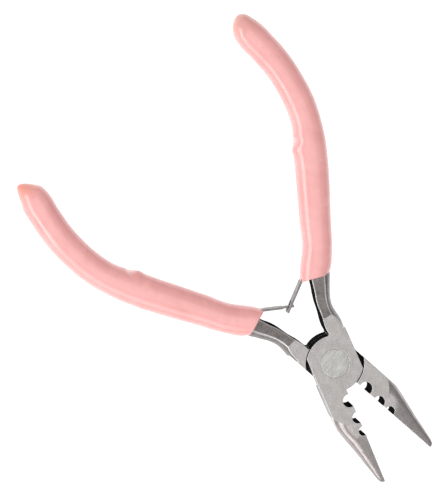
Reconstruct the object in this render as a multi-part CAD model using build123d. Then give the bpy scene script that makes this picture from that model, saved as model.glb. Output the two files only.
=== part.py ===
"""Mini crimping pliers: lap-jointed half-round jaws, two interlocked leaf springs, dipped grips.

The frame: X across the tool, Y from the jaws to the handles, Z up through the lap joint. The origin
lies on the rivet's axis, on the rear ground face that the tool lies on. The tool is drawn open.
"""

import os
from math import cos, pi, radians, sin

from build123d import *

# ---- driving dimensions, millimetres and degrees ----
HEAD_THICKNESS = 7.5
HEAD_HALF_WIDTH = 6.15
MID = HEAD_THICKNESS / 2
HALF_OPENING = 12.25  # each half stands this far from the closed position

LAP_RADIUS = 7.35
STEP_RADIUS = 7.6  # the shoulder that the other half's lap disc turns inside
LAP_GAP = 0.04  # between the two lap faces
JAW_GAP = 0.03  # from each jaw face to the closed centre plane
CUT_OVERRUN = 1.0  # how far a cutting tool reaches past the metal
ROOT_OVERLAP = 0.5  # of the head's block with the first section of the neck

RIVET_RADIUS = 2.3
RIVET_HEAD_RADIUS = 3.75
RIVET_HEAD_DEPTH = 1.2
RUNNING_CLEARANCE = 0.03

# crimp notches: centre x, centre y, radius, the largest nearest the joint
NOTCHES = [(-0.45, -10.35, 1.7), (-0.15, -15.3, 1.5), (-0.2, -19.1, 1.25)]
SERRATION_START = -21.0
SERRATION_END = -33.2
SERRATION_PITCH = 0.6
SERRATION_DEPTH = 0.22

# nose, flat on the jaw face and rounded behind: y, width from the jaw face, half height
NOSE_START = -11.5
NOSE = [
    (NOSE_START, 7.4, 4.8),
    (-14.5, 6.75, 4.07),
    (-17.5, 5.95, 3.83),
    (-20.4, 5.15, 3.74),
    (-22.4, 4.55, 3.45),
    (-24.4, 4.0, 3.08),
    (-27.5, 3.15, 2.5),
    (-30.6, 2.35, 1.98),
    (-33.0, 1.7, 1.55),
    (-34.0, 1.2, 1.2),
    (-34.4, 0.5, 0.6),
]
NOSE_SQUARENESS = 0.52  # power of the oval's sine and cosine, 1 for an ellipse
NOSE_SECTION_STEPS = 8

# neck of the arm between joint and grip:
# y, inner edge x, width, half height, inner half height, forging draft of the inner wall
NECK = [
    (7.0, 1.35, 5.3, 7.5, 7.5, 0.02),
    (9.3, 1.45, 4.85, 4.4, 4.3, 0.02),
    (11.7, 1.7, 4.2, 3.8, 3.74, 0.05),
    (13.5, 1.9, 3.8, 3.35, 3.15, 0.1),
    (15.4, 2.0, 4.0, 3.1, 2.75, 0.15),
    (17.8, 2.4, 4.5, 3.0, 2.7, 0.4),
    (19.4, 2.8, 4.8, 2.95, 2.75, 0.45),
    (22.6, 3.95, 4.75, 2.9, 2.7, 0.45),
]
RIDGE = 0.62  # the neck is highest this far across, from its inner edge
# rounding beyond the ridge: share of the remaining width, share of the height
OUTER_ROUNDING = [(0.4, 0.88), (0.75, 0.6), (0.95, 0.3)]
SHOULDER_END = 10.0  # the head's full width ends here
# tang inside the grip, in the same terms
TANG = [
    NECK[-1],
    (28.0, 6.2, 4.2, 2.5, 2.3, 0.3),
    (36.0, 9.3, 3.9, 2.4, 2.2, 0.1),
    (46.0, 12.9, 3.6, 2.3, 2.1, 0.02),
    (56.0, 16.2, 3.2, 2.2, 2.0, 0.02),
    (66.0, 17.4, 3.0, 2.1, 1.9, 0.02),
    (76.0, 16.3, 2.7, 2.0, 1.8, 0.02),
    (84.0, 13.9, 2.3, 1.8, 1.6, 0.02),
]
NECK_BEND = (4.0, 5.5)
WIDER_SET = 3.6  # the rear half's arm is bent this much further out, about the neck's foot

# grip: centre x, centre y, direction from +Y, width
GRIP_HEIGHT = 7.2
GRIP_HEIGHT_TO_WIDTH = 1.0  # where the grip is narrow
GRIP_SQUARENESS = 0.75
GRIP_SECTION_POINTS = 16
GRIP = [
    (4.5, 22.25, 10.0, 7.9),
    (5.7, 24.2, 20.0, 8.1),
    (8.2, 28.9, 23.0, 7.8),
    (10.15, 34.5, 21.5, 8.1),
    (13.3, 43.2, 19.0, 8.6),
    (15.5, 49.4, 17.5, 8.7),
    (16.7, 53.5, 15.0, 8.75),
    (18.1, 58.2, 10.5, 7.9),
    (18.7, 64.0, 3.0, 7.85),
    (18.45, 69.0, -3.0, 7.8),
    (17.4, 75.3, -11.5, 7.85),
    (15.55, 81.2, -20.5, 7.9),
    (14.1, 84.95, -22.0, 7.9),
]
# the dripped ends differ: the rear one is cut more slanted, its peak on the outer side
GRIP_END = {
    "front": [
        (13.1, 88.1, -20.0, 6.3),
        (12.95, 90.0, -18.0, 3.8),
        (12.95, 90.8, -18.0, 1.6),
    ],
    "rear": [
        (13.32, 86.8, -20.0, 7.0),
        (13.05, 88.0, -20.0, 6.2),
        (13.06, 88.85, -20.0, 5.1),
        (13.1, 90.15, -20.0, 3.3),
        (13.22, 91.05, -20.0, 1.6),
    ],
}

LEAF_THICKNESS = 0.6
LEAF_WIDTH = 3.0
CHANNEL_CLEARANCE = 0.08
LEAF_ROOT = (15.35, 55.4)
LEAF_BED = [(12.6, 46.5), (8.85, 36.0), (6.35, 30.0), (3.9, 26.0)]
LEAF_MOUTH = (1.25, 22.95)
LEAF_TIPS = {"front": (-5.6, 16.6), "rear": (-4.15, 17.2)}
LEAF_PAST_CROSSING = 1.8  # from the slotted leaf's tip to the middle of its slot
LEAF_SLOT = (3.0, 1.7)
LEAF_TONGUE = 1.1
LEAF_TONGUE_LENGTH = 3.2
LEAF_PUNCH = 4.0  # the punch's reach through the strip

STAKE_POINT = (14.9, 53.9)  # on the leaf's centre line
STAKE_ANGLE = 17.0  # from +Y, of the leaf at the stake
STAKE_RADIUS = 0.7
STAKE_HEAD = (1.2, 0.5)  # radius, height
STAKE_DEPTH = 2.2


def section_plane(x, y, outward):
    """A plane standing across the tool at y, its first axis outward and its second up."""
    return Plane(origin=(x, y, MID), x_dir=(outward, 0, 0), z_dir=(0, -outward, 0))


def powered(value, power):
    """A sine or cosine raised to a power, its sign kept."""
    return abs(value) ** power * (1 if value >= 0 else -1)


def half_oval(y, width, half_height):
    """Section of the nose: flat on the jaw face, half of a squarish oval behind it."""
    points = []
    for n in range(NOSE_SECTION_STEPS + 1):
        t = pi * (n / NOSE_SECTION_STEPS - 0.5)
        across = width * powered(cos(t), NOSE_SQUARENESS)
        points.append((across, half_height * powered(sin(t), NOSE_SQUARENESS)))
    outline = [Spline(*points), Line(points[-1], points[0])]
    return section_plane(0, y, -1) * make_face(outline)


def ridged(x, y, width, half_height, inner_half_height, draft):
    """Section of the arm: a drafted inner wall, a facet up to a ridge, and a rounded outer side."""
    ridge = RIDGE * width
    beyond = width - ridge
    upper = [(ridge + u * beyond, v * half_height) for u, v in OUTER_ROUNDING]
    lower = [(u, -v) for u, v in upper]
    crest, keel = (ridge, half_height), (ridge, -half_height)
    top, bottom = (0, inner_half_height), (0, -inner_half_height)
    rounding = Spline(keel, *lower, (width, 0), *reversed(upper), crest)
    parting = (-draft, 0)
    wall = [Line(top, parting), Line(parting, bottom)]
    outline = [Line(bottom, keel), rounding, Line(crest, top), *wall]
    return section_plane(x, y, 1) * make_face(outline)


def turned(point, angle, centre):
    """A point turned about a centre, clockwise seen from +Z."""
    a = radians(angle)
    dx, dy = point[0] - centre[0], point[1] - centre[1]
    return (centre[0] + dx * cos(a) + dy * sin(a), centre[1] - dx * sin(a) + dy * cos(a))


def slab(x0, x1, y0, y1, z0, z1):
    """A box from its corners."""
    box = Box(x1 - x0, y1 - y0, z1 - z0)
    return Pos((x0 + x1) / 2, (y0 + y1) / 2, (z0 + z1) / 2) * box


def disc(radius, z0, z1):
    """An upright cylinder about the rivet's axis."""
    return Pos(0, 0, (z0 + z1) / 2) * Cylinder(radius, z1 - z0)


def jaw():
    """The jaw of one half, closed position, on the -X side of the centre plane."""
    root = slab(-HEAD_HALF_WIDTH, -JAW_GAP, NOSE_START, 0, 0, HEAD_THICKNESS)
    nose = loft([half_oval(*station) for station in NOSE])
    nose_end = NOSE[-1][0] - CUT_OVERRUN
    stock = slab(-HEAD_HALF_WIDTH, -JAW_GAP, nose_end, NOSE_START, 0, HEAD_THICKNESS)
    body = root + (nose & stock)
    for x, y, radius in NOTCHES:
        body -= Pos(x, y, MID) * Cylinder(radius, HEAD_THICKNESS + CUT_OVERRUN)
    side = SERRATION_DEPTH * 2**0.5
    groove = Rot(0, 0, 45) * Box(side, side, HEAD_THICKNESS + CUT_OVERRUN)
    count = int((SERRATION_START - SERRATION_END) / SERRATION_PITCH)
    for n in range(count):
        y = SERRATION_START - (n + 0.5) * SERRATION_PITCH
        body -= Pos(-JAW_GAP, y, MID) * groove
    return body


def arm(wider):
    """Neck and tang of one half, closed position, on the +X side."""
    neck_start, neck_end = NECK[0][0], NECK[-1][0] + WIDER_SET
    root_end = neck_start + ROOT_OVERLAP
    root = slab(NECK[0][1], HEAD_HALF_WIDTH, 0, root_end, 0, HEAD_THICKNESS)
    sections = {"neck": [], "tang": []}
    for name, stations in (("neck", NECK), ("tang", TANG)):
        for y, x, *sizes in stations:
            x, y = turned((x, y), wider, NECK_BEND)
            sections[name].append(ridged(x, y, *sizes))
    neck = loft(sections["neck"])
    reach = 2 * HEAD_HALF_WIDTH
    shoulder = slab(0, HEAD_HALF_WIDTH, neck_start, SHOULDER_END, 0, HEAD_THICKNESS)
    beyond = slab(0, reach, SHOULDER_END, neck_end, 0, HEAD_THICKNESS)
    return root + (neck & (shoulder + beyond)) + loft(sections["tang"])


def half(wider, clearance):
    """One forging in its closed position, its lap disc in front."""
    sides = jaw() + arm(wider)
    lap = disc(LAP_RADIUS, MID + LAP_GAP / 2, HEAD_THICKNESS)
    stock = slab(-HEAD_HALF_WIDTH, HEAD_HALF_WIDTH, -STEP_RADIUS, STEP_RADIUS, 0, HEAD_THICKNESS)
    below, above = -CUT_OVERRUN, HEAD_THICKNESS + CUT_OVERRUN
    body = (sides - disc(STEP_RADIUS, below, MID + LAP_GAP / 2)) + (lap & stock)
    body -= disc(RIVET_RADIUS + clearance, below, above)
    recess = HEAD_THICKNESS - RIVET_HEAD_DEPTH - clearance
    body -= disc(RIVET_HEAD_RADIUS + clearance, recess, above)
    return body


def rivet():
    """Flush-headed rivet through both lap discs."""
    body = disc(RIVET_RADIUS, 0, HEAD_THICKNESS)
    body += disc(RIVET_HEAD_RADIUS, 0, RIVET_HEAD_DEPTH)
    return body + disc(RIVET_HEAD_RADIUS, HEAD_THICKNESS - RIVET_HEAD_DEPTH, HEAD_THICKNESS)


def oval(x, y, angle, width, height):
    """A squarish oval section standing across the direction given."""
    a = radians(angle)
    plane = Plane(origin=(x, y, MID), x_dir=(cos(a), -sin(a), 0), z_dir=(-sin(a), -cos(a), 0))
    points = []
    for n in range(GRIP_SECTION_POINTS):
        t = 2 * pi * n / GRIP_SECTION_POINTS
        across = width / 2 * powered(cos(t), GRIP_SQUARENESS)
        points.append((across, height / 2 * powered(sin(t), GRIP_SQUARENESS)))
    return plane * make_face([Spline(*points, periodic=True)])


def grip_shape(wider, end):
    """Outside of one grip, closed position."""
    sections = []
    for x, y, angle, width in [*GRIP, *end]:
        x, y = turned((x, y), wider, NECK_BEND)
        height = min(GRIP_HEIGHT, width * GRIP_HEIGHT_TO_WIDTH)
        sections.append(oval(x, y, angle + wider, width, height))
    return loft(sections)


def leaf_path(wider, tip):
    """Centre line of one leaf spring, root first, closed position."""
    bed = [turned(p, wider, NECK_BEND) for p in [LEAF_ROOT, *LEAF_BED, LEAF_MOUTH]]
    mouth = Vector(*bed[-1], MID)
    end = Vector(*tip, MID)
    root_way = (Vector(*bed[1]) - Vector(*bed[0])).normalized()
    points = [Vector(x, y, MID) for x, y in bed]
    bent = Spline(*points, tangents=[root_way, (end - mouth).normalized()])
    return bent, Line(mouth, end)


def strip(path, width, thickness):
    """A flat strip along a path, its width along Z."""
    plane = Plane(origin=path @ 0, x_dir=(0, 0, 1), z_dir=path % 0)
    return sweep(plane * Rectangle(width, thickness), path=path)


def leaf_channel(wider, tip):
    """Room for the leaf inside the grip."""
    width = LEAF_WIDTH + 2 * CHANNEL_CLEARANCE
    thickness = LEAF_THICKNESS + 2 * CHANNEL_CLEARANCE
    bent, free = leaf_path(wider, tip)
    return strip(bent, width, thickness) + strip(free, width, thickness)


def stake(wider, clearance=0.0):
    """Spring stake: a shank in the tang and a low head over the leaf."""
    x, y = turned(STAKE_POINT, wider, NECK_BEND)
    a = radians(STAKE_ANGLE + wider)
    plane = Plane(origin=(x, y, MID), x_dir=(0, 0, 1), z_dir=(-cos(a), sin(a), 0))
    head_radius, head_height = STAKE_HEAD
    top = LEAF_THICKNESS / 2 + CHANNEL_CLEARANCE
    radius = STAKE_RADIUS + clearance
    shank = plane * Pos(0, 0, (top - STAKE_DEPTH) / 2) * Cylinder(radius, top + STAKE_DEPTH)
    lift = top + head_height / 2
    head = plane * Pos(0, 0, lift) * Cylinder(head_radius, head_height)
    return shank + head


def leaf(wider, tip, slotted):
    """One leaf spring, closed position: its free end has the slot or the tongue."""
    bent, free = leaf_path(wider, tip)
    body = strip(bent, LEAF_WIDTH, LEAF_THICKNESS) + strip(free, LEAF_WIDTH, LEAF_THICKNESS)
    end = free @ 1
    along = free % 1
    frame = Plane(origin=end, x_dir=along, z_dir=(0, 0, 1))
    if slotted:
        length, height = LEAF_SLOT
        body -= frame * Pos(-LEAF_PAST_CROSSING, 0, 0) * Box(length, LEAF_PUNCH, height)
    else:
        height = LEAF_WIDTH / 2
        for up in (-1, 1):
            offset = up * (LEAF_TONGUE + height) / 2
            cut = Box(2 * LEAF_TONGUE_LENGTH, LEAF_PUNCH, height)
            body -= frame * Pos(0, 0, offset) * cut
    return body


def to_rear(body):
    """Turns a front piece over about Y, which makes it the rear half's piece."""
    return Pos(0, 0, MID) * Rot(0, 180, 0) * Pos(0, 0, -MID) * body


def opened(body, side):
    """Swings a closed piece to the open rest position, side +1 for the front half."""
    return Rot(0, 0, -side * HALF_OPENING) * body


def main():
    """Builds every piece and writes one STEP file for each."""
    pieces = {"pivot_rivet": rivet()}
    sides = (("front", 1, 0.0, 0.0, True), ("rear", -1, WIDER_SET, RUNNING_CLEARANCE, False))
    for name, side, wider, clearance, slotted in sides:
        forging = half(wider, clearance)
        pin = stake(wider)
        tip = LEAF_TIPS[name]
        spring = leaf(wider, tip, slotted) - stake(wider, RUNNING_CLEARANCE)
        grip = grip_shape(wider, GRIP_END[name]) - forging - leaf_channel(wider, tip) - pin
        group = {
            f"{name}_half": forging - pin,
            f"{name}_grip": grip,
            f"{name}_leaf_spring": spring,
            f"{name}_spring_rivet": pin,
        }
        for node, body in group.items():
            if side < 0:
                body = to_rear(body)
            pieces[node] = opened(body, side)
    os.makedirs("parts", exist_ok=True)
    for node, body in pieces.items():
        export_step(body, f"parts/{node}.step")


main()
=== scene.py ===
"""Looks of the mini crimping pliers: ground and blackened steel, dipped grips, sprung leaves."""

import math

import bpy
import numpy as np
from mathutils import Matrix, Vector, noise


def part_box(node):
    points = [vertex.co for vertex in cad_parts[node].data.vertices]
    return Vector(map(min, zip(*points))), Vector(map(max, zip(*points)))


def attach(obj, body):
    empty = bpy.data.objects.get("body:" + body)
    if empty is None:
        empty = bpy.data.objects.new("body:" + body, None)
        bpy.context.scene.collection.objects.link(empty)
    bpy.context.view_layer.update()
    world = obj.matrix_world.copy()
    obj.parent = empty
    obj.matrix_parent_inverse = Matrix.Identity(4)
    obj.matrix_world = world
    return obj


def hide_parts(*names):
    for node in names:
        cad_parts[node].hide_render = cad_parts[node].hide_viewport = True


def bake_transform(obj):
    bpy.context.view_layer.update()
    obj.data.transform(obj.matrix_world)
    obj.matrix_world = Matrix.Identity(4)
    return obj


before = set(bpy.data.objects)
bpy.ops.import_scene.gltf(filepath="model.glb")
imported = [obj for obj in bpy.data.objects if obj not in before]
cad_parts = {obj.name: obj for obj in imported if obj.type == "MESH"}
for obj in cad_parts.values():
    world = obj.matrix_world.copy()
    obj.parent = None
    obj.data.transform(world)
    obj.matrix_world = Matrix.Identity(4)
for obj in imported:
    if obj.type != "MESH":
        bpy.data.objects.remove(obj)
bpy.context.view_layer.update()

MM = 0.001
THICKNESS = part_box("front_half")[1].z / MM
MID = THICKNESS / 2
HALF_OPENING = math.radians(12.25)

# ---- camera; lengths in metres ----
CAMERA_AIM = Vector((-6.1, 42.39, 3.75)) * MM
CAMERA_DISTANCE = 0.6
CAMERA_TILT = math.radians(9.1)  # from straight above, towards the handles
CAMERA_SIDE = math.radians(-2.5)  # towards -X
CAMERA_ROLL = math.radians(36.22)
CAMERA_LENS = 174.55

# ---- light and floor; directions are parts to the image's right, up and towards the camera ----
# direction, distance, size towards the camera and across that, power in watts
LIGHTS = {
    "key": ((-0.75, -0.22, 0.85), 0.6, (0.26, 0.6), 1.5),
    "below": ((-0.25, -0.85, 0.6), 0.6, (0.3, 0.5), 0.75),
    "fill": ((0.25, -0.2, 1.0), 0.8, (0.5, 0.5), 0.66),
}
ROOM_BRIGHT_SIDE = (-0.7, -0.55, 0.5)
ROOM_TURN = (-0.6, 0.9)  # cosines from the bright side between which the room brightens
ROOM_STRENGTH = (0.55, 1.0)
FLOOR_HALF = 1.5
FLOOR_DROP = 0.0002  # below the tool, so that the two don't touch
FLOOR_GREY = 0.35
FLOOR_GLOW = 0.95

# ---- shapes, in each half's own closed frame, millimetres and degrees ----
NECK_BEND = (4.0, 5.5)
WIDER_SET = {1: 0.0, -1: 3.6}
GRIP_HEIGHT = 7.2
GRIP_SQUARENESS = 0.88
# centre x, centre y, direction from +Y, width
GRIP = [
    (4.5, 22.25, 10.0, 7.9),
    (5.7, 24.2, 20.0, 8.1),
    (8.2, 28.9, 23.0, 7.8),
    (10.15, 34.5, 21.5, 8.1),
    (13.3, 43.2, 19.0, 8.6),
    (15.5, 49.4, 17.5, 8.7),
    (16.7, 53.5, 15.0, 8.75),
    (18.1, 58.2, 10.5, 7.9),
    (18.7, 64.0, 3.0, 7.85),
    (18.45, 69.0, -3.0, 7.8),
    (17.4, 75.3, -11.5, 7.85),
    (15.55, 81.2, -20.5, 7.9),
    (14.1, 84.95, -22.0, 7.9),
]
# the dripped ends, front and rear
GRIP_ENDS = {
    1: [(13.1, 88.1, -20.0, 6.3), (12.95, 90.0, -18.0, 3.8), (12.95, 90.75, -18.0, 1.6)],
    -1: [
        (13.32, 86.8, -20.0, 7.0),
        (13.05, 88.0, -20.0, 6.2),
        (13.06, 88.85, -20.0, 5.1),
        (13.1, 90.15, -20.0, 3.3),
        (13.22, 91.05, -20.0, 1.6),
    ],
}
GRIP_TIPS = {1: (12.95, 90.85), -1: (13.25, 91.2)}
GRIP_AROUND = 72
GRIP_STEP = 0.55
# lip at the mouth, from the skin inwards: how far inward, how far forward of the mouth's plane
GRIP_LIP = [(0.03, 0.1), (0.12, 0.19), (0.27, 0.22), (0.42, 0.14), (0.55, -0.02), (0.66, -0.3)]
GRIP_SUNK = 0.4  # depth of the middle of the mouth
# the mouth is drawn out over the leaf: how far, reach across the grip, reach along it
GRIP_DRAWN = (0.35, 1.4, 1.2)
# relief over the spring's rivet: height, y and reach along the grip,
# height above the middle and reach up
GRIP_LUMP = (0.42, 52.6, 1.0, 1.3, 1.5)
GRIP_CREASE = (-0.75, 54.9, 0.8, 0.9, 2.1)
GRIP_SWELL = (0.1, 50.0, 2.4)  # height, y and reach along the grip, all the way up
GRIP_INNER = (0.46, 0.24)  # where this relief is across the grip and its reach, in widths
GRIP_WAVE = (0.05, 0.16, 0.3)  # height, and waves per mm along and round the grip
GRIP_WAVE_SHIFT = 5.0
GRIP_SHRINK = 0.03  # taken off the skin, to keep the waves about inside the drawn outline

LEAF_THICKNESS = 0.6
LEAF_WIDTH = 3.0
LEAF_EDGE = 0.12  # width of the faces along both edges
LEAF_STEP = 0.5
LEAF_BED = [(15.35, 55.4), (12.6, 46.5), (8.85, 36.0), (6.35, 30.0), (3.9, 26.0), (1.25, 22.95)]
LEAF_TIPS = {1: (-5.6, 16.6), -1: (-4.15, 17.2)}
LEAF_FREE_SHARES = (0.04, 0.12, 0.3, 0.6, 1.0)  # places on the straight free part, mouth to tip
LEAF_SLOT = (0.3, 3.3, 1.7)  # start and end from the tip, height
LEAF_TONGUE = (3.2, 1.1)  # length, height

# half of the rivet's profile: radius, depth below its face
RIVET_PROFILE = [
    (3.6, 0.0),
    (3.67, 0.01),
    (3.72, 0.035),
    (3.745, 0.07),
    (3.75, 0.12),
    (3.75, 1.2),
    (2.3, 1.2),
]
RIVET_AROUND = 96
RIVET_FACE_RINGS = (0.35, 0.7)  # radii on each face, as shares of its edge's
SHARP_EDGE = 40

# ---- where one finish of a forging ends and the next begins, own frame ----
GROUND, BLACK, INNER, OUTER, NOSE = range(5)
FLATNESS = 0.002  # a ground face is this near to the part's top or bottom
LAP_REACH = 8.3  # the lap joint's walls are within this radius of the pivot
LAP_FLAT = 6.15  # the lap's flat sides are this far out in x
LAP_FLAT_ERROR = 0.02
LAP_FACE_ERROR = 0.1  # the lap's own face is this near to half the thickness
JAW_FROM = -8.0  # y
NOSE_FROM = -11.5  # y
NOTCHES_TO = -20.8  # y
NOTCHES_DEPTH = -2.6  # x
NECK_FROM = 6.5  # y
# limits for a face's direction
FACES_UP = 0.9
UPRIGHT = 0.5
NOTCH_WALL = 0.3
JAW_WALL = 0.6
NECK_WALL = -0.9

# ---- materials ----
NOISE_MIDDLE = (0.3, 0.7)  # most of a noise's values are between these
NOISE_ROUGHNESS = 0.6
TONE_ENDS = (0.1, 0.9)  # the roughness changes between these tones
SCRATCH_STRETCH = 40.0  # a scratch's length, in widths
SCRATCH_BLUR = 0.04
EDGE_SAMPLES = 6
PITS_PER_METRE = 2600.0
DRIP_REACH = (6.5, 1.0)  # the orange starts this far from its middle, and is full this far from it
DRIP_SHIFT = 0.5  # its middle is this far outward of the grip's tip


def turned(point, angle, centre):
    """A point turned about a centre, clockwise seen from +Z."""
    a = math.radians(angle)
    dx, dy = point[0] - centre[0], point[1] - centre[1]
    c, s = math.cos(a), math.sin(a)
    return centre[0] + dx * c + dy * s, centre[1] - dx * s + dy * c


def placed(x, y, z, side):
    """A point of one half's own closed frame in the row frame; side is +1 for the front half."""
    if side < 0:
        x, z = -x, THICKNESS - z
    c, s = math.cos(HALF_OPENING), side * math.sin(HALF_OPENING)
    return Vector((x * c + y * s, y * c - x * s, z)) * MM


def own(point, side):
    """A point or direction of the row frame in one half's own closed frame, but not moved in z."""
    c, s = math.cos(HALF_OPENING), side * math.sin(HALF_OPENING)
    x, y = point.x * c - point.y * s, point.y * c + point.x * s
    return Vector((side * x, y, side * point.z))


# ---- camera, light and floor ----
def make_camera():
    """The photograph's view: from above, a little from the handles' side."""
    back = Vector((
        math.sin(CAMERA_SIDE) * math.cos(CAMERA_TILT),
        math.sin(CAMERA_TILT),
        math.cos(CAMERA_TILT) * math.cos(CAMERA_SIDE),
    )).normalized()
    along = Vector((0, 1, 0))
    up = (along - along.dot(back) * back).normalized()
    right = up.cross(back)
    c, s = math.cos(CAMERA_ROLL), math.sin(CAMERA_ROLL)
    image_up = c * up + s * right
    image_right = c * right - s * up
    data = bpy.data.cameras.new("camera")
    data.lens = CAMERA_LENS
    data.sensor_width = 36.0
    data.clip_end = 10.0
    camera = bpy.data.objects.new("camera", data)
    turn = Matrix((image_right, image_up, back)).transposed()
    camera.matrix_world = Matrix.Translation(CAMERA_AIM + back * CAMERA_DISTANCE) @ turn.to_4x4()
    bpy.context.scene.collection.objects.link(camera)
    bpy.context.scene.camera = camera
    return image_up, image_right, back


IMAGE_UP, IMAGE_RIGHT, IMAGE_BACK = make_camera()


def image_direction(right, up, back):
    """A direction given by its parts to the image's right, up and towards the camera."""
    return right * IMAGE_RIGHT + up * IMAGE_UP + back * IMAGE_BACK


def area_light(name, direction, distance, size, power):
    """A soft rectangular light along a direction from the tool, its width towards the camera."""
    data = bpy.data.lights.new(name, "AREA")
    data.shape = "RECTANGLE"
    data.size, data.size_y = size
    data.energy = power
    light = bpy.data.objects.new(name, data)
    way = direction.normalized()
    narrow = (IMAGE_BACK - IMAGE_BACK.dot(way) * way).normalized()
    turn = Matrix((narrow, way.cross(narrow), way)).transposed()
    light.matrix_world = Matrix.Translation(CAMERA_AIM + way * distance) @ turn.to_4x4()
    bpy.context.scene.collection.objects.link(light)


def make_lights():
    """A key from the left, lights from below and above, and a room darker at the upper right."""
    for name, (direction, distance, size, power) in LIGHTS.items():
        area_light(name, image_direction(*direction), distance, size, power)
    world = bpy.data.worlds.new("studio")
    bpy.context.scene.world = world
    world.use_nodes = True
    tree = world.node_tree
    background = tree.nodes["Background"]
    background.inputs["Color"].default_value = (1, 1, 1, 1)
    direction = tree.nodes.new("ShaderNodeTexCoord")
    toward = tree.nodes.new("ShaderNodeVectorMath")
    toward.operation = "DOT_PRODUCT"
    toward.inputs[1].default_value = image_direction(*ROOM_BRIGHT_SIDE).normalized()
    level = tree.nodes.new("ShaderNodeMapRange")
    level.interpolation_type = "SMOOTHSTEP"
    level.inputs["From Min"].default_value = ROOM_TURN[0]
    level.inputs["From Max"].default_value = ROOM_TURN[1]
    level.inputs["To Min"].default_value = ROOM_STRENGTH[0]
    level.inputs["To Max"].default_value = ROOM_STRENGTH[1]
    tree.links.new(direction.outputs["Generated"], toward.inputs[0])
    tree.links.new(toward.outputs["Value"], level.inputs["Value"])
    tree.links.new(level.outputs["Result"], background.inputs["Strength"])


def make_floor():
    """The pale sheet that the tool lies on."""
    mesh = bpy.data.meshes.new("floor")
    half = FLOOR_HALF
    corners = [(-half, -half, 0), (half, -half, 0), (half, half, 0), (-half, half, 0)]
    mesh.from_pydata(corners, [], [(0, 1, 2, 3)])
    floor = bpy.data.objects.new("floor", mesh)
    floor.location = (0, 0, -FLOOR_DROP)
    material = bpy.data.materials.new("floor_white")
    material.use_nodes = True
    shader = material.node_tree.nodes["Principled BSDF"]
    shader.inputs["Base Color"].default_value = (FLOOR_GREY, FLOOR_GREY, FLOOR_GREY, 1)
    shader.inputs["Roughness"].default_value = 0.6
    shader.inputs["Emission Color"].default_value = (1, 1, 1, 1)
    shader.inputs["Emission Strength"].default_value = FLOOR_GLOW
    mesh.materials.append(material)
    bpy.context.scene.collection.objects.link(floor)


make_lights()
make_floor()
bpy.context.scene.view_settings.view_transform = "Standard"


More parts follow.
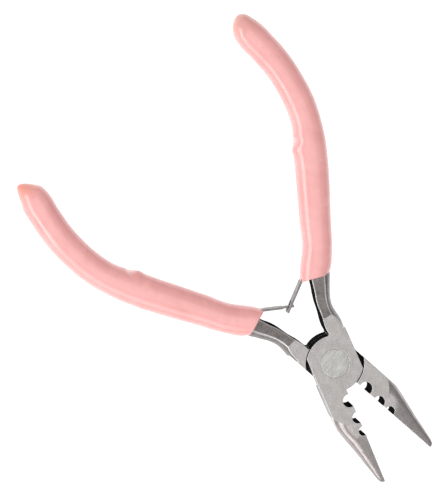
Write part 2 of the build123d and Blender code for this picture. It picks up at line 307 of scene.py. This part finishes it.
# ---- materials ----
class Look:
    """One material's node tree, built around its principled shader; lengths are in millimetres."""

    def __init__(self, name, metallic, **sockets):
        self.material = bpy.data.materials.new(name)
        self.material.use_nodes = True
        self.tree = self.material.node_tree
        self.shader = self.tree.nodes["Principled BSDF"]
        self.shader.inputs["Metallic"].default_value = metallic
        for socket, value in sockets.items():
            self.shader.inputs[socket.replace("_", " ")].default_value = value
        self.place = self.add("ShaderNodeTexCoord").outputs["Object"]

    def add(self, kind, inputs=None, **settings):
        """A node with its settings and its inputs, each a value or another node's output."""
        node = self.tree.nodes.new(kind)
        for key, value in settings.items():
            setattr(node, key, value)
        for key, value in (inputs or {}).items():
            if isinstance(value, bpy.types.NodeSocket):
                self.tree.links.new(value, node.inputs[key])
            else:
                node.inputs[key].default_value = value
        return node

    def drive(self, socket, output):
        """Joins an output to one of the shader's sockets."""
        self.tree.links.new(output, self.shader.inputs[socket])

    def turned_place(self, angle, shift):
        """Coordinates turned about Z, and shifted so that two patterns differ."""
        inputs = {
            "Vector": self.place,
            "Rotation": (0, 0, math.radians(angle)),
            "Location": (shift, shift, shift),
        }
        return self.add("ShaderNodeMapping", inputs).outputs["Vector"]

    def grain(self, size, detail, across=None, angle=0.0, shift=0.0):
        """Noise from 0 to 1 with features of this size; across draws them out at an angle."""
        vector = self.turned_place(angle, shift)
        scale = 1 / (size * MM)
        if across:
            stretched = {"Vector": vector, "Scale": (across, 1.0, 1.0)}
            vector = self.add("ShaderNodeMapping", stretched).outputs["Vector"]
        inputs = {"Vector": vector, "Scale": scale, "Detail": detail, "Roughness": NOISE_ROUGHNESS}
        return self.add("ShaderNodeTexNoise", inputs).outputs["Fac"]

    def remap(self, value, low, high, out_low=0.0, out_high=1.0):
        """A value between two limits, moved to two others."""
        inputs = {
            "Value": value,
            "From Min": low,
            "From Max": high,
            "To Min": out_low,
            "To Max": out_high,
        }
        return self.add("ShaderNodeMapRange", inputs).outputs["Result"]

    def spread(self, value, amount):
        """A noise's middle values, moved to this much to each side of 0."""
        return self.remap(value, *NOISE_MIDDLE, -amount, amount)

    def roughness(self, tone, dark, light):
        """Sets the roughness from the tone, between its values for dark and light parts."""
        self.drive("Roughness", self.remap(tone, *TONE_ENDS, dark, light))

    def math(self, operation, a, b):
        """One sum on two values."""
        return self.add("ShaderNodeMath", {0: a, 1: b}, operation=operation).outputs["Value"]

    def total(self, *values):
        """The sum of several values."""
        result = values[0]
        for value in values[1:]:
            result = self.math("ADD", result, value)
        return result

    def mix(self, factor, a, b):
        """A colour between two."""
        return self.add("ShaderNodeMix", {0: factor, 6: a, 7: b}, data_type="RGBA").outputs[2]

    def scratches(self, size, angle, shift, share):
        """Thin straight marks, nearly parallel, over a share of the surface."""
        length = size * SCRATCH_STRETCH
        lines = self.grain(length, 1.0, across=SCRATCH_STRETCH, angle=angle, shift=shift)
        return self.remap(lines, 1 - share, 1 - share + SCRATCH_BLUR)

    def rounded(self, radius, first=0.996, full=0.86):
        """The normal with its edges broken, and a mask of those edges from its turn's cosine."""
        bevel = self.add("ShaderNodeBevel", {"Radius": radius * MM}, samples=EDGE_SAMPLES)
        soft = bevel.outputs["Normal"]
        flat = self.add("ShaderNodeNewGeometry").outputs["Normal"]
        facing = self.add("ShaderNodeVectorMath", {0: soft, 1: flat}, operation="DOT_PRODUCT")
        return soft, self.remap(facing.outputs["Value"], first, full)

    def bump(self, height, depth, normal=None):
        """Relief of this depth over a normal."""
        inputs = {"Height": height, "Distance": depth * MM, "Strength": 1.0}
        if normal:
            inputs["Normal"] = normal
        self.drive("Normal", self.add("ShaderNodeBump", inputs).outputs["Normal"])


def colour(red, green, blue):
    """A colour for a socket."""
    return (red, green, blue, 1.0)


def ground_steel():
    """Surface-ground flats: fine grain, faint crossed scratches, broken edges painted bright,
    partly as edge wear and partly as a painted highlight.
    """
    look = Look("ground_steel", 1.0)
    fine = look.grain(0.3, 6.0)
    cloud = look.grain(2.6, 3.0)
    brushed = look.grain(3.2, 3.0, across=18.0, angle=24, shift=0.3)
    marks = look.total(
        look.scratches(0.09, 62, 0.1, 0.36),
        look.scratches(0.07, 18, 0.7, 0.35),
        look.scratches(0.08, -40, 0.5, 0.34),
    )
    tone = look.total(
        look.spread(fine, 0.28),
        look.spread(cloud, 0.1),
        look.spread(brushed, 0.16),
        look.math("MULTIPLY", marks, 0.25),
        0.5,
    )
    soft, edge = look.rounded(0.24, first=0.99, full=0.8)
    base = look.mix(tone, colour(0.25, 0.234, 0.228), colour(0.5, 0.478, 0.468))
    # edges painted near-white: partly edge wear, partly a painted highlight
    look.drive("Base Color", look.mix(edge, base, colour(0.85, 0.84, 0.82)))
    look.roughness(tone, 0.5, 0.36)
    look.bump(look.total(fine, brushed, look.math("MULTIPLY", marks, -0.7)), 0.006, soft)
    return look.material


def black_oxide():
    """Blackened faces that grinding didn't reach, their edges painted light in patches: partly worn
    oxide, partly a painted highlight.
    """
    look = Look("black_oxide", 0.0, Specular_IOR_Level=0.0)
    fine = look.grain(0.3, 5.0)
    cloud = look.grain(1.6, 3.0, shift=0.4)
    soft, edge = look.rounded(0.1)
    tone = look.total(look.remap(fine, 0.35, 0.7), look.remap(cloud, 0.4, 0.75, 0.0, 0.5))
    tone = look.math("MULTIPLY", tone, 0.5)
    base = look.mix(tone, colour(0.006, 0.006, 0.006), colour(0.03, 0.029, 0.029))
    # edges painted light grey in patches: partly worn oxide, partly a painted highlight
    wear_and_highlight = look.math("MULTIPLY", edge, look.remap(cloud, 0.3, 0.6, 0.35, 1.0))
    look.drive("Base Color", look.mix(wear_and_highlight, base, colour(0.62, 0.61, 0.6)))
    look.drive("Roughness", look.remap(fine, 0.3, 0.7, 0.42, 0.6))
    look.bump(look.total(fine, cloud), 0.015, soft)
    return look.material


def forged_steel(name, dark, light, rough):
    """Blasted forging skin: mottled, slightly pitted, its ridges and edges painted bright, partly
    as rubbed wear and partly as a painted highlight.
    """
    look = Look(name, 1.0)
    fine = look.grain(0.3, 6.0, shift=0.2)
    mottle = look.grain(0.9, 3.0, shift=0.6)
    cloud = look.grain(4.0, 2.0, shift=0.9)
    cells = look.add("ShaderNodeTexVoronoi", {"Vector": look.place, "Scale": PITS_PER_METRE})
    pits = look.remap(cells.outputs["Distance"], 0.12, 0.3)
    soft, edge = look.rounded(0.45, first=0.9995, full=0.988)
    tone = look.total(
        look.spread(fine, 0.3),
        look.spread(mottle, 0.2),
        look.spread(cloud, 0.15),
        look.math("MULTIPLY", pits, 0.15),
        0.4,
    )
    base = look.mix(tone, colour(*dark), colour(*light))
    # ridges and edges painted bright: partly rubbed wear, partly a painted highlight
    look.drive("Base Color", look.mix(edge, base, colour(0.62, 0.6, 0.595)))
    look.roughness(tone, rough + 0.08, rough - 0.06)
    look.bump(look.total(fine, mottle, look.math("MULTIPLY", pits, 0.5)), 0.022, soft)
    return look.material


def polished_nose():
    """Half-round noses, ground lengthwise and part polished."""
    look = Look("polished_nose", 1.0)
    fine = look.grain(0.25, 4.0, shift=0.35)
    along = look.grain(4.0, 3.0, across=26.0, shift=0.15)
    cloud = look.grain(2.2, 2.0, shift=0.8)
    soft, edge = look.rounded(0.16)
    tone = look.total(
        look.spread(fine, 0.2),
        look.spread(along, 0.22),
        look.spread(cloud, 0.12),
        0.5,
    )
    base = look.mix(tone, colour(0.2, 0.179, 0.176), colour(0.46, 0.424, 0.419))
    # edges painted near-white as a painted highlight
    look.drive("Base Color", look.mix(edge, base, colour(0.82, 0.8, 0.79)))
    look.roughness(tone, 0.25, 0.14)
    look.bump(look.total(fine, along), 0.007, soft)
    return look.material


def rivet_steel():
    """Rivet head ground with the joint: paler, with long parallel scratches."""
    look = Look("rivet_steel", 1.0)
    fine = look.grain(0.2, 5.0)
    cloud = look.grain(1.5, 3.0)
    marks = look.total(
        look.scratches(0.1, 78, 0.25, 0.42),
        look.scratches(0.07, 70, 0.85, 0.4),
        look.scratches(0.06, -25, 0.45, 0.33),
    )
    soft, edge = look.rounded(0.08)
    tone = look.total(
        look.spread(fine, 0.15),
        look.spread(cloud, 0.12),
        look.math("MULTIPLY", marks, 0.7),
        0.35,
    )
    base = look.mix(tone, colour(0.28, 0.276, 0.263), colour(0.53, 0.526, 0.506))
    look.drive("Base Color", look.mix(edge, base, colour(0.34, 0.33, 0.32)))
    look.roughness(tone, 0.46, 0.34)
    look.bump(look.total(fine, look.math("MULTIPLY", marks, -1.0)), 0.006, soft)
    return look.material


def spring_steel():
    """Rolled strip: lengthwise lines, blued tone, bright sheared edges."""
    look = Look("spring_steel", 1.0)
    fine = look.grain(0.2, 4.0)
    rolled = look.grain(5.0, 3.0, across=30.0, angle=45, shift=0.2)
    cloud = look.grain(1.4, 2.0, shift=0.5)
    soft, edge = look.rounded(0.07)
    tone = look.total(
        look.spread(fine, 0.15),
        look.spread(rolled, 0.2),
        look.spread(cloud, 0.15),
        0.5,
    )
    base = look.mix(tone, colour(0.1, 0.093, 0.091), colour(0.28, 0.262, 0.26))
    look.drive("Base Color", look.mix(edge, base, colour(0.75, 0.74, 0.73)))
    look.roughness(tone, 0.42, 0.28)
    look.bump(look.total(fine, rolled), 0.005, soft)
    return look.material


def dipped_pvc(name, side, tip_colour):
    """Glossy dip-coated plastic: cloudy pink, faint orange peel, more orange at the dripped end."""
    look = Look(
        name,
        0.0,
        IOR=1.5,
        Coat_Weight=0.8,
        Coat_Roughness=0.17,
        Subsurface_Weight=0.08,
        Subsurface_Radius=(1.0, 0.45, 0.4),
        Subsurface_Scale=0.0012,
    )
    cloud = look.grain(7.0, 2.0, shift=0.3)
    blotch = look.grain(2.2, 3.0, shift=0.6)
    peel = look.grain(1.8, 1.0, shift=0.1)
    flow = look.grain(14.0, 1.0, across=5.0, angle=-side * 30, shift=0.8)
    tone = look.total(
        look.spread(cloud, 0.25),
        look.remap(blotch, 0.25, 0.75, -0.1, 0.1),
        look.spread(flow, 0.15),
        0.5,
    )
    base = look.mix(tone, colour(0.67, 0.288, 0.275), colour(0.78, 0.368, 0.353))
    x, y = turned(GRIP_TIPS[side], WIDER_SET[side], NECK_BEND)
    tip = placed(x + DRIP_SHIFT, y, MID, side)
    away = look.add("ShaderNodeVectorMath", {0: look.place, 1: tip}, operation="DISTANCE")
    drip = look.remap(away.outputs["Value"], DRIP_REACH[0] * MM, DRIP_REACH[1] * MM)
    drip = look.math("MULTIPLY", drip, look.remap(blotch, 0.2, 0.8, 0.7, 1.2))
    look.drive("Base Color", look.mix(drip, base, tip_colour))
    look.drive("Roughness", look.remap(cloud, 0.3, 0.7, 0.2, 0.3))
    look.bump(look.total(peel, look.math("MULTIPLY", flow, 3.0)), 0.012)
    return look.material


# ---- meshes ----
def link(name, vertices, faces, materials, sharp=None):
    """A new piece from vertices in the row frame."""
    mesh = bpy.data.meshes.new(name)
    mesh.from_pydata([tuple(v) for v in vertices], [], faces)
    mesh.validate()
    for material in materials:
        mesh.materials.append(material)
    mesh.shade_smooth()
    if sharp:
        mesh.set_sharp_from_angle(angle=math.radians(sharp))
    piece = bpy.data.objects.new(name, mesh)
    bpy.context.scene.collection.objects.link(piece)
    return piece


def lofted(rings, start, end):
    """Vertices and faces of a closed skin over rings, closed by a point at each end."""
    count = len(rings[0])
    vertices = [start]
    for ring in rings:
        vertices.extend(ring)
    vertices.append(end)
    last = len(vertices) - 1
    faces = []
    for n in range(count):
        m = (n + 1) % count
        faces.append((0, 1 + m, 1 + n))
        faces.append((last, last - count + n, last - count + m))
    for r in range(len(rings) - 1):
        low, high = 1 + r * count, 1 + (r + 1) * count
        for n in range(count):
            m = (n + 1) % count
            faces.append((low + n, low + m, high + m, high + n))
    return vertices, faces


def smooth_table(rows, step):
    """Rows of numbers resampled along a smooth curve; the first two columns are places."""
    table = np.array(rows, float)
    along = np.concatenate([[0], np.cumsum(np.hypot(*np.diff(table[:, :2], axis=0).T))])
    slopes = np.gradient(table, along, axis=0)
    result = []
    for k in range(len(along) - 1):
        gap = along[k + 1] - along[k]
        count = max(2, round(gap / step))
        for n in range(count):
            t = n / count
            ahead, behind = t * t * (3 - 2 * t), (1 - t) ** 2 * (1 + 2 * t)
            row = behind * table[k] + ahead * table[k + 1]
            row += gap * (t * (1 - t) ** 2 * slopes[k] - t * t * (1 - t) * slopes[k + 1])
            result.append(row)
    result.append(table[-1])
    return result


def grip_surface(x, y, direction, width, around):
    """One point of the grip's skin: x and y in the half's own frame, its offsets up and across."""
    height = min(GRIP_HEIGHT, width)
    c, s = math.cos(around), math.sin(around)
    across = width / 2 * math.copysign(abs(c) ** GRIP_SQUARENESS, c)
    up = height / 2 * math.copysign(abs(s) ** GRIP_SQUARENESS, s)
    a = math.radians(direction)
    return x + across * math.cos(a), y - across * math.sin(a), up, across


def bell(distance, reach):
    """A smooth hill, 1 high at distance 0."""
    return math.exp(-((distance / reach) ** 2))


def grip_relief(y, across, up, width, side):
    """Height added to the skin: the spring rivet's lump, the crease beyond it and slow waves."""
    raised = up * side
    middle, reach = GRIP_INNER
    inner = bell(across + middle * width, reach * width)

    def mound(height, at, reach_along, level, reach_up):
        return height * bell(y - at, reach_along) * bell(raised - level, reach_up) * inner

    height, at, reach_along = GRIP_SWELL
    swell = height * bell(y - at, reach_along) * inner
    height, along, around = GRIP_WAVE
    spot = (along * y, around * across, around * up + GRIP_WAVE_SHIFT * side)
    wave = height * noise.noise(Vector(spot))
    return mound(*GRIP_LUMP) + mound(*GRIP_CREASE) + swell + wave - GRIP_SHRINK


def grip_ring(station, side, forward, fade, inward=None, ahead=0.0):
    """A ring of the skin, or of the lip this far inward; fade is how far it joins in the mouth."""
    x, y, direction, width, level = station
    drawn_by, drawn_across, _ = GRIP_DRAWN
    ring = []
    for n in range(GRIP_AROUND):
        around = 2 * math.pi * n / GRIP_AROUND
        px, py, up, across = grip_surface(x, y, direction, width, around)
        raised = grip_relief(level, across, up, width, side) if inward is None else -inward
        scale = 1 + 2 * raised / width
        drawn = ahead + drawn_by * bell(across + width / 2, drawn_across) * fade
        qx = x + (px - x) * scale + forward[0] * drawn
        qy = y + (py - y) * scale + forward[1] * drawn
        ring.append(placed(qx, qy, MID + up * scale, side))
    return ring


def make_grip(name, node, body, side, material):
    """A dip-coated grip: lofted skin, rolled lip round a sunk mouth, relief over the rivet."""
    wider = WIDER_SET[side]
    stations = []
    for row in smooth_table([*GRIP, *GRIP_ENDS[side]], GRIP_STEP):
        x, y = turned(row[:2], wider, NECK_BEND)
        stations.append((x, y, row[2] + wider, row[3], row[1]))
    mouth = stations[0]
    a = math.radians(mouth[2])
    forward = (-math.sin(a), -math.cos(a))
    rings = []
    for inward, ahead in reversed(GRIP_LIP):
        rings.append(grip_ring(mouth, side, forward, 1.0, inward, ahead))
    for station in stations:
        fade = bell(station[4] - mouth[4], GRIP_DRAWN[2])
        rings.append(grip_ring(station, side, forward, fade))
    sunk_x, sunk_y = mouth[0] - forward[0] * GRIP_SUNK, mouth[1] - forward[1] * GRIP_SUNK
    sunk = placed(sunk_x, sunk_y, MID, side)
    tip = placed(*turned(GRIP_TIPS[side], wider, NECK_BEND), MID, side)
    vertices, faces = lofted(rings, sunk, tip)
    piece = link(name, vertices, faces, [material])
    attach(piece, body)
    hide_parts(node)


def make_rivet(material):
    """The pivot rivet: two flush heads with broken rims, and a shank."""
    profile = RIVET_PROFILE + [(r, THICKNESS - z) for r, z in reversed(RIVET_PROFILE)]
    angles = [2 * math.pi * n / RIVET_AROUND for n in range(RIVET_AROUND)]
    rings = []
    for radius, z in profile:
        rings.append([Vector((radius * math.cos(t), radius * math.sin(t), z)) * MM for t in angles])

    def shrunk(ring, share):
        return [Vector((v.x * share, v.y * share, v.z)) for v in ring]

    bottom = [shrunk(rings[0], share) for share in RIVET_FACE_RINGS]
    top = [shrunk(rings[-1], share) for share in reversed(RIVET_FACE_RINGS)]
    middle = (Vector((0, 0, 0)), Vector((0, 0, THICKNESS * MM)))
    vertices, faces = lofted([*bottom, *rings, *top], *middle)
    piece = link("pivot_rivet_ground", vertices, faces, [material], sharp=SHARP_EDGE)
    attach(piece, "front")
    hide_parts("pivot_rivet")


def leaf_line(side):
    """Points along a leaf from its root to its tip, with the direction at each, own frame."""
    wider = WIDER_SET[side]
    bed = [turned(p, wider, NECK_BEND) for p in LEAF_BED]
    mouth, tip = Vector(bed[-1]), Vector(LEAF_TIPS[side])
    for share in LEAF_FREE_SHARES:
        bed.append(tuple(mouth.lerp(tip, share)))
    points = [Vector(row[:2]) for row in smooth_table(bed, LEAF_STEP)]
    ways = []
    for k in range(len(points)):
        ways.append((points[min(k + 1, len(points) - 1)] - points[max(k - 1, 0)]).normalized())
    return points, ways


def make_leaf(name, node, side, material):
    """A leaf spring that bends at the grip's mouth, with a slot (front) or a tongue (rear)."""
    points, ways = leaf_line(side)
    reach = [0.0]
    for k in range(len(points) - 1, 0, -1):
        reach.append(reach[-1] + (points[k] - points[k - 1]).length)
    reach.reverse()
    half = LEAF_WIDTH / 2
    slot_from, slot_to, slot_height = LEAF_SLOT
    tongue_length, tongue_height = LEAF_TONGUE
    inner = slot_height / 2 if side > 0 else tongue_height / 2
    edge = half - LEAF_EDGE
    heights = [-half, -edge, -inner, -inner / 2, 0, inner / 2, inner, edge, half]

    def solid(k, j):
        middle = (reach[k] + reach[k + 1]) / 2
        level = abs(heights[j] + heights[j + 1]) / 2
        if side > 0:
            return not (slot_from < middle < slot_to and level < inner)
        return not (middle < tongue_length and level > inner)

    rows, columns = len(points) - 1, len(heights) - 1
    cells = {(k, j) for k in range(rows) for j in range(columns) if solid(k, j)}
    index, vertices, faces = {}, [], []

    def vertex(k, j, face):
        if (k, j, face) not in index:
            index[k, j, face] = len(vertices)
            across = Vector((-ways[k].y, ways[k].x)) * (face * LEAF_THICKNESS / 2)
            spot = points[k] + across
            vertices.append(placed(spot.x, spot.y, MID + heights[j], side))
        return index[k, j, face]

    for k, j in sorted(cells):
        corners = [(k, j), (k + 1, j), (k + 1, j + 1), (k, j + 1)]
        faces.append([vertex(*c, -1) for c in corners])
        faces.append([vertex(*c, 1) for c in reversed(corners)])
        walls = [((k, j - 1), 0, 1), ((k + 1, j), 1, 2), ((k, j + 1), 2, 3), ((k - 1, j), 3, 0)]
        for neighbour, a, b in walls:
            if neighbour not in cells:
                first, second = corners[a], corners[b]
                faces.append([
                    vertex(*second, -1),
                    vertex(*first, -1),
                    vertex(*first, 1),
                    vertex(*second, 1),
                ])
    piece = link(name, vertices, faces, [material], sharp=SHARP_EDGE)
    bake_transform(piece)
    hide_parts(node)


# ---- which finish each face of a forging has ----
def finish_of(centre, normal, ground):
    """The finish of one face, from its middle and direction in the half's own frame."""
    x, y, z = centre
    reach = math.hypot(x, y)
    if ground:
        return GROUND
    if abs(z - MID) < LAP_FACE_ERROR and abs(normal.z) > FACES_UP:
        return BLACK
    if reach < LAP_REACH and abs(normal.z) < UPRIGHT:
        return OUTER if abs(abs(x) - LAP_FLAT) < LAP_FLAT_ERROR else BLACK
    if y < JAW_FROM:
        notch = y > NOTCHES_TO and x > NOTCHES_DEPTH and abs(normal.z) < NOTCH_WALL
        if notch or normal.x > JAW_WALL:
            return BLACK
        return NOSE if y < NOSE_FROM else OUTER
    if y > NECK_FROM and normal.x < NECK_WALL:
        return BLACK
    return INNER if normal.x < 0 else OUTER


def dress_half(node, side, looks):
    """Gives each face of a forging its finish."""
    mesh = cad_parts[node].data
    mesh.materials.clear()
    for look in looks:
        mesh.materials.append(look)
    lift = 0 if side > 0 else THICKNESS
    for face in mesh.polygons:
        centre = own(face.center / MM, side) + Vector((0, 0, lift))
        heights = [mesh.vertices[n].co.z / MM for n in face.vertices]
        ground = max(heights) < FLATNESS or min(heights) > THICKNESS - FLATNESS
        face.material_index = finish_of(centre, own(face.normal, side), ground)


LOOKS = [
    ground_steel(),
    black_oxide(),
    forged_steel("forged_inner", (0.09, 0.081, 0.077), (0.235, 0.216, 0.207), 0.46),
    forged_steel("forged_outer", (0.09, 0.081, 0.08), (0.27, 0.248, 0.246), 0.3),
    polished_nose(),
]
RIVET = rivet_steel()
SPRING = spring_steel()
dress_half("front_half", 1, LOOKS)
dress_half("rear_half", -1, LOOKS)
for pin in ("front_spring_rivet", "rear_spring_rivet"):
    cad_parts[pin].data.materials.clear()
    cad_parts[pin].data.materials.append(RIVET)

make_rivet(RIVET)
front_pvc = dipped_pvc("pvc_front", 1, colour(0.6, 0.3, 0.25))
rear_pvc = dipped_pvc("pvc_rear", -1, colour(0.74, 0.26, 0.19))
make_grip("front_grip_dipped", "front_grip", "front", 1, front_pvc)
make_grip("rear_grip_dipped", "rear_grip", "rear", -1, rear_pvc)
make_leaf("front_leaf_slotted", "front_leaf_spring", 1, SPRING)
make_leaf("rear_leaf_tongued", "rear_leaf_spring", -1, SPRING)
